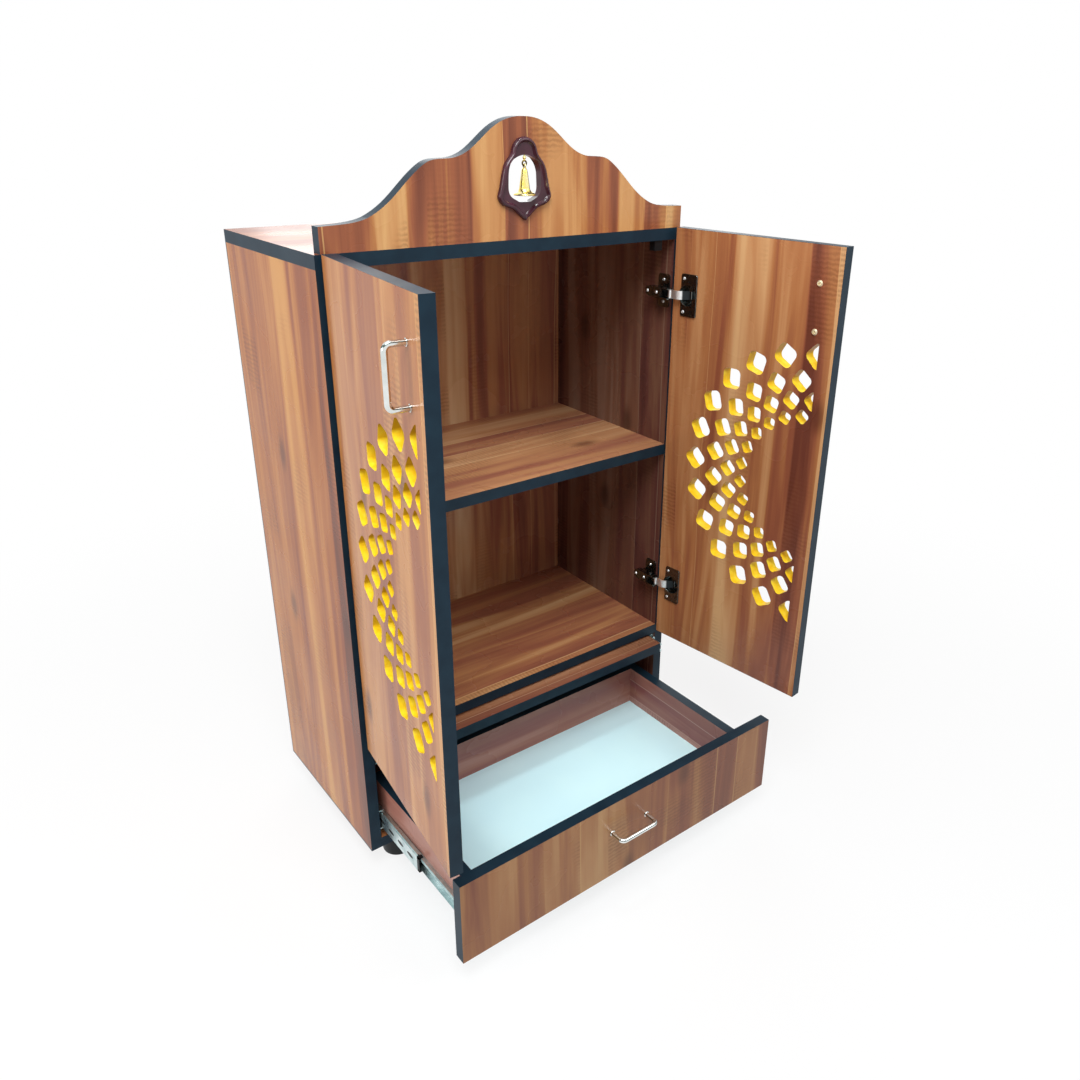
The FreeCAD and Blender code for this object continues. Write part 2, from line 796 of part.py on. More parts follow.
def build():
    """All nodes in the row's axes, in the photograph's pose."""
    nodes = {}
    nodes["right_side_panel"] = side_panel()
    nodes["left_side_panel"] = mirrored(side_panel())
    nodes["top_panel"] = box(
        -half_width, half_width, 0, carcass_depth, carcass_height - board, carcass_height)
    nodes["back_panel"] = back_panel()
    nodes["middle_shelf"] = shelf(middle_shelf_top)
    nodes["bottom_shelf"] = shelf(bottom_shelf_top)
    nodes["base_panel"] = shelf(board)
    nodes["crown_board"] = crown_board()
    nodes["bell_frame"] = bell_frame()
    nodes["bell_hook"] = bell_hook()
    nodes["bell"] = bell()
    foot_x = half_width - foot_side_inset
    nodes["foot_front_right"] = foot(foot_x, foot_end_inset)
    nodes["foot_front_left"] = foot(-foot_x, foot_end_inset)
    nodes["foot_back_right"] = foot(foot_x, carcass_depth - foot_end_inset)
    nodes["foot_back_left"] = foot(-foot_x, carcass_depth - foot_end_inset)
    upper, lower = hinge_heights()
    for name, height in (("upper", upper), ("lower", lower)):
        arm = hinge_arm(height)
        cup = turned(hinge_cup(height), door_rest_angle)
        link = hinge_link(height)
        nodes["hinge_arm_" + name + "_right"] = arm
        nodes["hinge_arm_" + name + "_left"] = mirrored(arm)
        nodes["hinge_cup_" + name + "_right"] = cup
        nodes["hinge_cup_" + name + "_left"] = mirrored(cup)
        nodes["hinge_link_" + name + "_right"] = link
        nodes["hinge_link_" + name + "_left"] = mirrored(link)
    door = turned(door_panel(), door_rest_angle)
    handle = turned(door_handle(), door_rest_angle)
    nodes["right_door"] = door
    nodes["left_door"] = mirrored(door)
    nodes["right_door_handle"] = handle
    nodes["left_door_handle"] = mirrored(handle)
    nodes["corner_catch"] = corner_catch()
    nodes["drawer_front"] = drawer_front()
    nodes["drawer_side_right"] = drawer_side()
    nodes["drawer_side_left"] = mirrored(drawer_side())
    nodes["drawer_back"] = drawer_back()
    nodes["drawer_bottom"] = drawer_bottom()
    nodes["drawer_handle"] = drawer_handle()
    nodes["tray_board"] = tray_board()
    sets = (
        ("drawer", drawer_slide_height, drawer_slide_middle_height,
         drawer_slide_runner_height, drawer_side_bottom + drawer_slide_above_side_foot,
         drawer_pull_out - door_closed_gap),
        ("tray", tray_slide_height, tray_slide_middle_height,
         tray_slide_runner_height, tray_top - tray_slide_below_top, tray_pull_out),
    )
    for name, tall, middle, runner, centre, out in sets:
        pieces = (
            ("rail", slide_rail(tall, centre)),
            ("middle", slide_middle(middle, tall, centre, out)),
            ("runner", slide_runner(runner, middle, centre, out)),
        )
        for label, piece in pieces:
            nodes[name + "_slide_" + label + "_right"] = piece
            nodes[name + "_slide_" + label + "_left"] = mirrored(piece)
    return nodes


os.makedirs("parts", exist_ok=True)
for node_name, node_shape in build().items():
    placed(node_shape).exportStep("parts/" + node_name + ".step")
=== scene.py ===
import json
import math

import bmesh
import bpy
from mathutils import Matrix, Vector
from mathutils.geometry import tessellate_polygon


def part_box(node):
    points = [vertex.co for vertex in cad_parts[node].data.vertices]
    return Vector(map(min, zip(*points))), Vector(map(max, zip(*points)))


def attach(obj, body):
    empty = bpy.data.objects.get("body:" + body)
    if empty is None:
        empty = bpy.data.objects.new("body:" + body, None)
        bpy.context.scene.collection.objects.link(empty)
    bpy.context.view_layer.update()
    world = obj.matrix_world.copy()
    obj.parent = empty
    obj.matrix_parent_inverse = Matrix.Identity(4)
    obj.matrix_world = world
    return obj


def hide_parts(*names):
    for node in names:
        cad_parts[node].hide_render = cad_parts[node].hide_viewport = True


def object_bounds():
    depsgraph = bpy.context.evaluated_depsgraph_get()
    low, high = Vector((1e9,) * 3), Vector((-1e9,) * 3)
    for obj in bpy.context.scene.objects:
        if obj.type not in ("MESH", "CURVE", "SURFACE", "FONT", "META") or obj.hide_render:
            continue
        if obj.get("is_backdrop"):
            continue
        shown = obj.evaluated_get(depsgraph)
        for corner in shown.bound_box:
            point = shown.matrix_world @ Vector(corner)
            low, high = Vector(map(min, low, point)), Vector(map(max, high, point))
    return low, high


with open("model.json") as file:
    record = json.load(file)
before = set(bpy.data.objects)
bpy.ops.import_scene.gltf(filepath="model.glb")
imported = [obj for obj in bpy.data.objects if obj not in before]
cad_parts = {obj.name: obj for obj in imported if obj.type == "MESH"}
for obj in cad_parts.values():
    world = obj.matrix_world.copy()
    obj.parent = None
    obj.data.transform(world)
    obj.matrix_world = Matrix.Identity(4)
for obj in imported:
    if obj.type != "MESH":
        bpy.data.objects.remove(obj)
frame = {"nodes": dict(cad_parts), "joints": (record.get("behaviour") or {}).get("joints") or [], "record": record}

cad_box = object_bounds()


# Side panels: the two upright boards of the carcass, 18 mm particle board under a satin
# wood-print laminate whose staves run upwards, with a black band glued on every sawn edge.
# The shelves and the base are screwed between them, and the top panel lies on them.
def add(tree, kind, inputs=None, **settings):
    """New node in a tree, its settings made and its inputs filled or linked."""
    node = tree.nodes.new(kind)
    for name, value in settings.items():
        setattr(node, name, value)
    for key, value in (inputs or {}).items():
        if isinstance(value, bpy.types.NodeSocket):
            tree.links.new(value, node.inputs[key])
        else:
            node.inputs[key].default_value = value
    return node


def maths(tree, operation, first, second=0.0, third=0.0):
    """Result of one step of arithmetic."""
    return add(tree, "ShaderNodeMath", {0: first, 1: second, 2: third}, operation=operation).outputs[0]


def noise(tree, place, scale, detail, **more):
    """Cloudy value at a place."""
    inputs = {"Vector": place, "Scale": scale, "Detail": detail, **more}
    return add(tree, "ShaderNodeTexNoise", inputs).outputs[0]


def blended(tree, share, under, over, mode="MIX"):
    """Colour laid over another by a share."""
    inputs = {0: share, 6: under, 7: over}
    node = add(tree, "ShaderNodeMix", inputs, data_type="RGBA", blend_type=mode)
    return node.outputs[2]


def ramped(tree, value, stops):
    """Colour read from a value along a list of (place, colour)."""
    node = add(tree, "ShaderNodeValToRGB", {0: value})
    elements = node.color_ramp.elements
    while len(elements) < len(stops):
        elements.new(0.5)
    for element, (place, colour) in zip(elements, stops):
        element.position = place
        element.color = (*colour, 1.0)
    return node.outputs[0]


def between(tree, value, low, high, first=0.0, last=1.0):
    """Value stretched from one span to another and held inside it."""
    inputs = {0: value, 1: low, 2: high, 3: first, 4: last}
    return add(tree, "ShaderNodeMapRange", inputs, interpolation_type="SMOOTHSTEP").outputs[0]


def hexa(code):
    """Linear colour from a painter's hex code."""
    parts = [int(code[i:i + 2], 16) / 255.0 for i in (0, 2, 4)]
    return tuple(p / 12.92 if p < 0.04045 else ((p + 0.055) / 1.055) ** 2.4 for p in parts)


def new_material(name):
    """Material with a shader, and its node tree."""
    material = bpy.data.materials.new(name)
    material.use_nodes = True
    tree = material.node_tree
    return material, tree, tree.nodes["Principled BSDF"]


band_black = hexa("121F2B")
band_worn = hexa("26404E")
ripple_brown = hexa("5E3018")
knot_brown = hexa("4E2418")
joint_pale = hexa("E0AC70")
hole_painted_shade = hexa("A87A14")
paint_yellows = [(0.3, hexa("FCCB18")), (0.55, hexa("FFDC2E")), (0.8, hexa("FFE858"))]
laminate_tones = [
    (0.08, hexa("6E3A2A")),
    (0.30, hexa("945438")),
    (0.50, hexa("B07244")),
    (0.68, hexa("C48C5A")),
    (0.90, hexa("D6A670")),
]
middle_tone = 0.49
stave_width = 0.050
strip_width = 0.021
joint_line = 0.0016
stave_share, strip_share, cloud_share, fibre_share = 0.46, 0.10, 0.42, 0.10
wander_reach = 0.016
edge_normal = 0.6


def stave_values(tree, drift, width, softness):
    """Three chance values for each stave or strip of a width, which run together at its joints."""
    inputs = {"W": drift, "Scale": 1.0 / width, "Smoothness": softness}
    cells = add(tree, "ShaderNodeTexVoronoi", inputs, voronoi_dimensions="1D", feature="SMOOTH_F1")
    return add(tree, "ShaderNodeSeparateColor", {0: cells.outputs["Color"]}).outputs


def fibres(tree, drift, along):
    """Fine fibres that run along the staves."""
    fine_across = maths(tree, "MULTIPLY", drift, 520.0)
    fine_along = maths(tree, "MULTIPLY", along, 7.0)
    place = add(tree, "ShaderNodeCombineXYZ", {0: fine_across, 2: fine_along})
    return noise(tree, place.outputs[0], 1.0, 3.0)


def stave_tone(tree, drift, along, stave, fibre, contrast):
    """Tone from dark to pale, by stave, by strip, by long clouds and by fibre."""
    strip = stave_values(tree, drift, strip_width, 0.6)
    long_place = add(tree, "ShaderNodeCombineXYZ", {0: maths(tree, "MULTIPLY", drift, 16.0), 2: along})
    cloud = noise(tree, long_place.outputs[0], 1.5, 3.0, Roughness=0.55, Distortion=0.9)
    tone = maths(tree, "MULTIPLY", stave[0], stave_share)
    tone = maths(tree, "MULTIPLY_ADD", strip[1], strip_share, tone)
    tone = maths(tree, "MULTIPLY_ADD", between(tree, cloud, 0.3, 0.7), cloud_share, tone)
    tone = maths(tree, "MULTIPLY_ADD", tone, contrast, middle_tone * (1.0 - contrast))
    return maths(tree, "MULTIPLY_ADD", maths(tree, "SUBTRACT", fibre, 0.5), fibre_share, tone)


def rippled(tree, wood, place, stave):
    """Wood with fine dark ripples across some staves, in patches."""
    inputs = {"Vector": place, "Scale": 46.0, "Distortion": 4.0}
    inputs.update({"Detail": 3.0, "Detail Scale": 2.6, "Detail Roughness": 0.6})
    ripple = add(tree, "ShaderNodeTexWave", inputs, bands_direction="Z")
    patch = between(tree, noise(tree, place, 7.0, 1.0), 0.48, 0.62, 0.0, 0.34)
    figured = maths(tree, "MULTIPLY", patch, between(tree, stave[1], 0.45, 0.55))
    share = maths(tree, "MULTIPLY", ripple.outputs[1], figured)
    return blended(tree, share, wood, (*ripple_brown, 1.0))


def knotted(tree, wood, across, along):
    """Wood with a few soft dark knots, twice as long as they are wide."""
    place = add(tree, "ShaderNodeCombineXYZ", {0: maths(tree, "MULTIPLY", across, 2.1), 1: along})
    inputs = {"Vector": place.outputs[0], "Scale": 3.4}
    knots = add(tree, "ShaderNodeTexVoronoi", inputs, voronoi_dimensions="2D")
    chance = add(tree, "ShaderNodeSeparateColor", {0: knots.outputs["Color"]}).outputs[2]
    knot = between(tree, knots.outputs["Distance"], 0.02, 0.13, 0.6, 0.0)
    share = maths(tree, "MULTIPLY", knot, between(tree, chance, 0.6, 0.62))
    return blended(tree, share, wood, (*knot_brown, 1.0))


def jointed(tree, wood, drift, stave):
    """Wood with a thin pale line at some of the joints between staves."""
    inputs = {"W": drift, "Scale": 1.0 / stave_width}
    edges = {"voronoi_dimensions": "1D", "feature": "DISTANCE_TO_EDGE"}
    joints = add(tree, "ShaderNodeTexVoronoi", inputs, **edges)
    line = between(tree, joints.outputs["Distance"], 0.0, joint_line / stave_width, 0.62, 0.0)
    share = maths(tree, "MULTIPLY", line, between(tree, stave[2], 0.55, 0.60))
    return blended(tree, share, wood, (*joint_pale, 1.0))


def painted_wall(tree, place, upward):
    """Brushed yellow paint, with painted shade that darkens the walls that face down."""
    paint = ramped(tree, noise(tree, place, 90.0, 2.0), paint_yellows)
    # Painted shade: the walls that face down are blended towards a dark olive.
    return blended(tree, between(tree, upward, -0.75, 0.30), (*hole_painted_shade, 1.0), paint)


def within(tree, across, along, span):
    """One inside a span across and along a board, and nought outside it."""
    low_across, high_across, low_along, high_along = span
    inside = maths(tree, "GREATER_THAN", across, low_across)
    inside = maths(tree, "MULTIPLY", inside, maths(tree, "LESS_THAN", across, high_across))
    inside = maths(tree, "MULTIPLY", inside, maths(tree, "GREATER_THAN", along, low_along))
    return maths(tree, "MULTIPLY", inside, maths(tree, "LESS_THAN", along, high_along))


def laminate(name, turn, shift, tint, contrast=1.0, span=None, painted=False, phase=0.0, outer_tint=None):
    """Wood-print laminate on a board's faces and black band on its edges, with the staves along
    the turned Z. The band also covers what lies outside a span, and a pierced board's holes are
    painted, with painted shade on the walls that face down. The tint carries painted light as well as the board's
    tone; an outer tint is for the side that faces the turned -Y."""
    material, tree, shader = new_material(name)
    coords = add(tree, "ShaderNodeTexCoord").outputs
    lay = {"Vector": coords["Object"], "Rotation": turn, "Location": shift}
    place = add(tree, "ShaderNodeMapping", lay, vector_type="POINT").outputs[0]
    split = add(tree, "ShaderNodeSeparateXYZ", {0: place})
    across, along = split.outputs[0], split.outputs[2]
    wander = noise(tree, place, 2.6, 1.0)
    drift = maths(tree, "MULTIPLY_ADD", wander, wander_reach, maths(tree, "ADD", across, phase))
    stave = stave_values(tree, drift, stave_width, 0.22)
    fibre = fibres(tree, drift, along)
    wood = ramped(tree, stave_tone(tree, drift, along, stave, fibre, contrast), laminate_tones)
    wood = rippled(tree, wood, place, stave)
    wood = knotted(tree, wood, across, along)
    wood = jointed(tree, wood, drift, stave)
    outward = {"Vector": coords["Normal"], "Rotation": turn}
    facing = add(tree, "ShaderNodeMapping", outward, vector_type="VECTOR")
    normal = add(tree, "ShaderNodeSeparateXYZ", {0: facing.outputs[0]}).outputs
    # The tint is the board's tone and also painted light: painted sheen on the inner boards, painted shade on the
    # right side's inner face.
    tone_and_painted_light = (*tint, 1.0)
    if outer_tint:
        is_outer = maths(tree, "LESS_THAN", normal[1], 0.0)
        tone_and_painted_light = blended(tree, is_outer, tone_and_painted_light, (*outer_tint, 1.0))
    wood = blended(tree, 1.0, wood, tone_and_painted_light, "MULTIPLY")
    is_edge = maths(tree, "LESS_THAN", maths(tree, "ABSOLUTE", normal[1]), edge_normal)
    worn_share = maths(tree, "MULTIPLY", noise(tree, place, 38.0, 2.0), 0.5)
    band = blended(tree, worn_share, (*band_black, 1.0), (*band_worn, 1.0))
    sawn = painted_wall(tree, place, normal[2]) if painted else band
    colour = blended(tree, is_edge, wood, sawn)
    if span:
        colour = blended(tree, within(tree, across, along, span), band, colour)
    tree.links.new(colour, shader.inputs["Base Color"])
    gloss = between(tree, noise(tree, place, 9.0, 3.0), 0.3, 0.7, 0.22, 0.31)
    tree.links.new(maths(tree, "MULTIPLY_ADD", is_edge, 0.12, gloss), shader.inputs["Roughness"])
    tree.links.new(maths(tree, "MULTIPLY_ADD", is_edge, -0.20, 0.32), shader.inputs["Specular IOR Level"])
    bump = add(tree, "ShaderNodeBump", {"Height": fibre, "Strength": 0.10, "Distance": 0.0002})
    tree.links.new(bump.outputs[0], shader.inputs["Normal"])
    return material


nodes = frame["nodes"]


def dress(material, *names):
    """Give CAD pieces a material."""
    for name in names:
        slots = nodes[name].data.materials
        slots.clear()
        slots.append(material)


quarter = math.pi / 2.0
upright_side = (0.0, 0.0, -quarter)
band_line = 0.0028
beyond = 9.0
# The right side's tint darkens its inner face as painted shade; its outer tint gives the outer face its own
# colour.
for side, shift, tint, outer_tint in (
        ("left", (0.21, 0.0, 0.3), (0.74, 0.60, 0.33), None),
        ("right", (1.37, 0.0, 0.9), (0.38, 0.46, 0.82), (0.95, 0.88, 0.74))):
    low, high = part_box(side + "_side_panel")
    span = (-beyond, high[1] + shift[0] - band_line, low[2] + shift[2] + band_line, beyond)
    name = "laminate_" + side + "_side"
    board = laminate(name, upright_side, shift, tint, 0.95, span, outer_tint=outer_tint)
    dress(board, side + "_side_panel")


# Back panel, crown board and drawer front: boards that face the front, cut from the same
# laminate with the staves upright. The crown is sawn to its arch and banded all round.
upright_front = (0.0, 0.0, 0.0)
# The back's cool, pale tint is partly painted sheen.
dress(laminate("laminate_back", upright_front, (2.11, 0.0, 0.4), (1.0, 1.20, 1.58), 0.9), "back_panel")
dress(laminate("laminate_crown", upright_front, (3.32, 0.0, 0.8), (0.98, 1.03, 1.0)), "crown_board")
front_tint = (0.62, 0.68, 0.71)
dress(laminate("laminate_drawer_front", upright_front, (4.75, 0.0, 0.1), front_tint, 0.72), "drawer_front")


# Top panel, shelves, base and pull-out tray: level boards with the grain along the width.
# The top lies on the sides, the others are screwed between them, and the tray runs on slides.
level = (-quarter, -quarter, 0.0)
dress(laminate("laminate_top", level, (5.2, 0.0, 0.0), (0.72, 0.51, 0.35), 0.8), "top_panel")
# The shelves' cool tints are partly painted sheen.
dress(laminate("laminate_middle_shelf", level, (6.43, 0.0, 0.2), (1.12, 1.42, 1.9), 0.65), "middle_shelf")
dress(laminate("laminate_bottom_shelf", level, (7.13, 0.0, 0.5), (1.0, 1.20, 1.48), 0.85), "bottom_shelf")
dress(laminate("laminate_base", level, (8.6, 0.0, 0.7), (0.9, 0.86, 0.84)), "base_panel")
dress(laminate("laminate_tray", level, (9.9, 0.0, 0.9), (0.66, 0.72, 1.05), 0.7), "tray_board")


# Feet and catch: four black moulded plastic glides, slightly tapered and screwed under the
# base, and a small catch of the same plastic screwed under the top panel.
def put_in_scene(name, data):
    """New object in the scene that holds a mesh, a lamp or a camera."""
    thing = bpy.data.objects.new(name, data)
    bpy.context.scene.collection.objects.link(thing)
    return thing


weld_gap = 0.000004
sliver_edge = 0.000002
crease = math.radians(32.0)


def smooth_copy(node, angle=crease):
    """Clean welded copy of a CAD piece with smooth shading, which replaces it."""
    mesh = nodes[node].data.copy()
    mesh.name = node + "_finish"
    work = bmesh.new()
    work.from_mesh(mesh)
    bmesh.ops.remove_doubles(work, verts=work.verts, dist=weld_gap)
    bmesh.ops.dissolve_degenerate(work, edges=work.edges, dist=sliver_edge)
    work.to_mesh(mesh)
    work.free()
    for attribute in [a for a in mesh.attributes if a.name == "custom_normal"]:
        mesh.attributes.remove(attribute)
    mesh.polygons.foreach_set("use_smooth", [True] * len(mesh.polygons))
    mesh.set_sharp_from_angle(angle=angle)
    return put_in_scene(node + "_finish", mesh)


bodies = frame["record"]["behaviour"]["bodies"]
body_of_node = {node: body for body, members in bodies.items() for node in members}


def finish(piece, material, node):
    """Material and body of a piece that replaces a CAD node, which it hides."""
    piece.data.materials.clear()
    piece.data.materials.append(material)
    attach(piece, body_of_node[node])
    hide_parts(node)


def clouded(tree, scale, detail, low, high):
    """Colour that drifts from one to another, and the cloud that it follows."""
    cloud = noise(tree, add(tree, "ShaderNodeTexCoord").outputs["Object"], scale, detail)
    return ramped(tree, cloud, [(0.3, low), (0.7, high)]), cloud


def moulded_black():
    """Black plastic with the faint grain of a mould."""
    material, tree, shader = new_material("moulded_black_plastic")
    colour, _ = clouded(tree, 45.0, 2.0, hexa("0B0E10"), hexa("14181B"))
    tree.links.new(colour, shader.inputs["Base Color"])
    shader.inputs["Roughness"].default_value = 0.42
    shader.inputs["Specular IOR Level"].default_value = 0.22
    grain = noise(tree, add(tree, "ShaderNodeTexCoord").outputs["Object"], 900.0, 2.0)
    bump = add(tree, "ShaderNodeBump", {"Height": grain, "Strength": 0.25, "Distance": 0.0001})
    tree.links.new(bump.outputs[0], shader.inputs["Normal"])
    return material


black_plastic = moulded_black()
for end in ("front_left", "front_right", "back_left", "back_right"):
    foot = "foot_" + end
    finish(smooth_copy(foot), black_plastic, foot)
finish(smooth_copy("corner_catch"), black_plastic, "corner_catch")


# Bell surround: a glossy dark brown plastic moulding, a raised bead round a sunk face. Its rim
# lies on the crown board and its sleeve goes through the hole.
def brown_gloss():
    """Dark brown moulding with a deep gloss and faint clouding."""
    material, tree, shader = new_material("brown_moulding")
    colour, _ = clouded(tree, 60.0, 3.0, hexa("34161F"), hexa("46222F"))
    tree.links.new(colour, shader.inputs["Base Color"])
    shader.inputs["Roughness"].default_value = 0.24
    shader.inputs["Specular IOR Level"].default_value = 0.36
    shader.inputs["Coat Weight"].default_value = 0.12
    return material


finish(smooth_copy("bell_frame"), brown_gloss(), "bell_frame")


# Bell: a small bell of polished brass, hung by its loop on a brass hook. The hook's lower end,
# inside the loop, is painted darker as painted shade.
def polished_metal(name, low, high, roughness, scale, painted_shade_end=None):
    """Polished metal, a little uneven in colour and gloss. Its painted shade at one end, where it has
    one, is given as (axis, start, end, colour)."""
    material, tree, shader = new_material(name)
    colour, cloud = clouded(tree, scale, 3.0, low, high)
    if painted_shade_end:
        axis, start, end, shade = painted_shade_end
        where = add(tree, "ShaderNodeSeparateXYZ", {0: add(tree, "ShaderNodeTexCoord").outputs["Object"]})
        colour = blended(tree, between(tree, where.outputs[axis], start, end), colour, (*shade, 1.0))
    tree.links.new(colour, shader.inputs["Base Color"])
    tree.links.new(between(tree, cloud, 0.3, 0.7, roughness * 1.4, roughness), shader.inputs["Roughness"])
    shader.inputs["Metallic"].default_value = 1.0
    return material


round_crease = math.radians(50.0)
bell_brass = polished_metal("bell_brass", hexa("F6D650"), hexa("FFF6C4"), 0.20, 90.0)
# Painted shade: the hook's lower end, inside the loop, is darkened.
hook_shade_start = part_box("bell_hook")[1][2] - 0.0062
hook_painted_shade = (2, hook_shade_start, hook_shade_start - 0.0010, hexa("5A4818"))
hook_brass = polished_metal("hook_brass", hexa("F0C640"), hexa("FFF0A0"), 0.22, 90.0, hook_painted_shade)
for part, metal in (("bell", bell_brass), ("bell_hook", hook_brass)):
    finish(smooth_copy(part, round_crease), metal, part)


# Concealed hinges: nickel-plated pressings. The arm's winged plate is screwed to the side
# panel, the cup is pressed into the door and screwed through its flange, and the link joins the
# two. The link's nickel is painted bright as a painted highlight, and its bend, which lies in the cup's shade, is
# painted darker as painted shade.
nickel = polished_metal("nickel_plate", hexa("565B5A"), hexa("7E8482"), 0.20, 160.0)
bend_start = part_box("hinge_link_upper_right")[0][1] + 0.0085
shaded_bend = (1, bend_start, bend_start - 0.002, hexa("303436"))
# Painted highlight on the whole link, and painted shade on its bend.
link_highlight_and_shade = polished_metal("link_highlight_and_shade", hexa("DCDEDE"), hexa("F4F6F6"), 0.38, 160.0, shaded_bend)
for name in [n for n in nodes if n.startswith("hinge_")]:
    metal = link_highlight_and_shade if name.startswith("hinge_link") else nickel
    finish(smooth_copy(name), metal, name)


# Doors: pierced boards on concealed hinges. The petals are routed through and their walls
# brushed with yellow paint, with painted shade on the walls that face down; the outer edges have the black band.
joint_place = {joint["name"]: joint.get("pos_m") for joint in frame["joints"]}
door_open = math.radians(96.5)
door_width = 0.297
axis_from_edge = 0.0072
door_phase = 0.47
door_band = 0.0003


def door_axis(side):
    """Place of a door's axis. The right side is 1 and the left side is -1, here and below."""
    return Vector(joint_place["right_door_hinge" if side > 0 else "left_door_hinge"])


def door_pattern(side):
    """Turn and shift that lay an open door's laminate as if it were closed, at its hinge."""
    turn = -door_open * side
    pivot = door_axis(side)
    moved = Matrix.Rotation(turn, 3, "Z") @ Vector((pivot.x, pivot.y, 0.0))
    return (0.0, 0.0, turn), tuple(-moved)


door_low, door_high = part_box("right_door")
near_edge = axis_from_edge - door_band
far_edge = axis_from_edge - door_width + door_band
for side, name, contrast, tint in (
        (1, "right", 1.0, (0.86, 0.88, 0.97)),
        (-1, "left", 0.7, (0.87, 0.84, 0.70))):
    turn, shift = door_pattern(side)
    across = (far_edge, near_edge) if side > 0 else (-near_edge, -far_edge)
    span = (*across, door_low[2] + door_band, door_high[2] - door_band)
    look = {"contrast": contrast, "span": span, "painted": True, "phase": door_phase}
    dress(laminate("laminate_" + name + "_door", turn, shift, tint, **look), name + "_door")


# Wire handles: chrome-plated steel rod bent to a D, screwed from behind through the board.
# The plate is so bright that a room shows in it; that reflection is painted on as one dark streak along its upper
# side.
chrome = polished_metal("chrome_plate", hexa("D2D8D5"), hexa("F4F7F5"), 0.13, 40.0)


def painted_reflection_streak(metal, colour):
    """Painted reflection of a room: a dark streak along round rods, where their surface slants upwards."""
    tree = metal.node_tree
    base = tree.nodes["Principled BSDF"].inputs["Base Color"]
    plain = base.links[0].from_socket
    facing = add(tree, "ShaderNodeTexCoord").outputs["Normal"]
    upward = add(tree, "ShaderNodeSeparateXYZ", {0: facing}).outputs[2]
    above = between(tree, upward, 0.56, 0.68, 1.0, 0.0)
    below = between(tree, upward, 0.28, 0.40)
    painted_reflection_share = maths(tree, "MULTIPLY", above, below)
    tree.links.new(blended(tree, painted_reflection_share, plain, (*colour, 1.0)), base)


# Painted reflection: the streak's dark colour.
painted_reflection_streak(chrome, hexa("4A5654"))
for name in ("left_door_handle", "right_door_handle", "drawer_handle"):
    finish(smooth_copy(name, round_crease), chrome, name)


# Drawer box: laminated sides and back with the grain lying lengthwise, black band on top,
# and a white-faced hardboard bottom nailed up from below.
lying_side = (quarter, 0.0, quarter)
lying_back = (2.0 * quarter, -quarter, 0.0)
# The box's cool tint is partly painted sheen.
box_tint_and_sheen = (0.82, 0.92, 1.95)
box_contrast = 0.6
for name, turn, shift in (
        ("drawer_side_left", lying_side, (0.4, 0.0, 0.6)),
        ("drawer_side_right", lying_side, (0.9, 0.0, 0.6)),
        ("drawer_back", lying_back, (1.7, 0.0, 0.6))):
    dress(laminate("laminate_" + name, turn, shift, box_tint_and_sheen, box_contrast), name)


def white_board():
    """Pale, smooth board face with faint clouding."""
    material, tree, shader = new_material("white_board")
    colour, _ = clouded(tree, 5.0, 3.0, hexa("CEF2FC"), hexa("D8FAFF"))
    tree.links.new(colour, shader.inputs["Base Color"])
    shader.inputs["Roughness"].default_value = 0.35
    return material


dress(white_board(), "drawer_bottom")


# Telescopic slides: three zinc-plated steel channels a side, one on the carcass, one between
# and one on the drawer or tray.
zinc = polished_metal("zinc_plate", hexa("AEC4C6"), hexa("E0EEEE"), 0.26, 70.0)
for name in [n for n in nodes if "_slide_" in n]:
    finish(smooth_copy(name), zinc, name)


# Screws: pan heads with a cross recess, nickel-plated in the hinge cups, plates and arms, and
# larger and yellow-plated behind the wire handles.
def tree_with(name, inputs):
    """Geometry node tree with named inputs and one geometry output."""
    tree = bpy.data.node_groups.new(name, "GeometryNodeTree")
    for label, kind, start in inputs:
        socket = tree.interface.new_socket(label, in_out="INPUT", socket_type="NodeSocket" + kind)
        if start is not None:
            socket.default_value = start
    tree.interface.new_socket("Result", in_out="OUTPUT", socket_type="NodeSocketGeometry")
    return tree, add(tree, "NodeGroupInput").outputs


def set_on_points(tree, given, shape, turn_span):
    """Shape on every point, along its facing attribute, turned a little at random."""
    facing = add(tree, "GeometryNodeInputNamedAttribute", {0: "facing"}, data_type="FLOAT_VECTOR")
    aimed = add(tree, "FunctionNodeAlignRotationToVector", {"Vector": facing.outputs[0]}, axis="Z")
    chance = add(tree, "FunctionNodeRandomValue", {2: 0.0, 3: turn_span, 8: 7}, data_type="FLOAT")
    twist = add(tree, "ShaderNodeCombineXYZ", {2: chance.outputs[1]})
    spin = add(tree, "FunctionNodeEulerToRotation", {0: twist.outputs[0]})
    turns = {0: aimed.outputs[0], 1: spin.outputs[0]}
    turned = add(tree, "FunctionNodeRotateRotation", turns, rotation_space="LOCAL")
    spots = {"Points": given["Points"], "Instance": shape, "Rotation": turned.outputs[0]}
    placed = add(tree, "GeometryNodeInstanceOnPoints", spots)
    solid = add(tree, "GeometryNodeRealizeInstances", {0: placed.outputs[0]})
    coat = {"Geometry": solid.outputs[0], "Material": given["Material"]}
    painted = add(tree, "GeometryNodeSetMaterial", coat)
    add(tree, "NodeGroupOutput", {0: painted.outputs[0]})


def grown_on(name, marks, tree, values):
    """Mesh that a node tree grows on (place, facing) marks, as a plain object."""
    mesh = bpy.data.meshes.new(name)
    mesh.from_pydata([tuple(place) for place, _ in marks], [], [])
    facing = mesh.attributes.new("facing", "FLOAT_VECTOR", "POINT")
    for index, (_, direction) in enumerate(marks):
        facing.data[index].vector = direction
    piece = put_in_scene(name, mesh)
    grower = piece.modifiers.new("grower", "NODES")
    grower.node_group = tree
    for item in tree.interface.items_tree:
        if item.name in values:
            grower[item.identifier] = values[item.name]
    bpy.context.view_layer.update()
    made = bpy.data.meshes.new_from_object(piece.evaluated_get(bpy.context.evaluated_depsgraph_get()))
    made.name = name
    piece.modifiers.clear()
    piece.data = made
    return piece


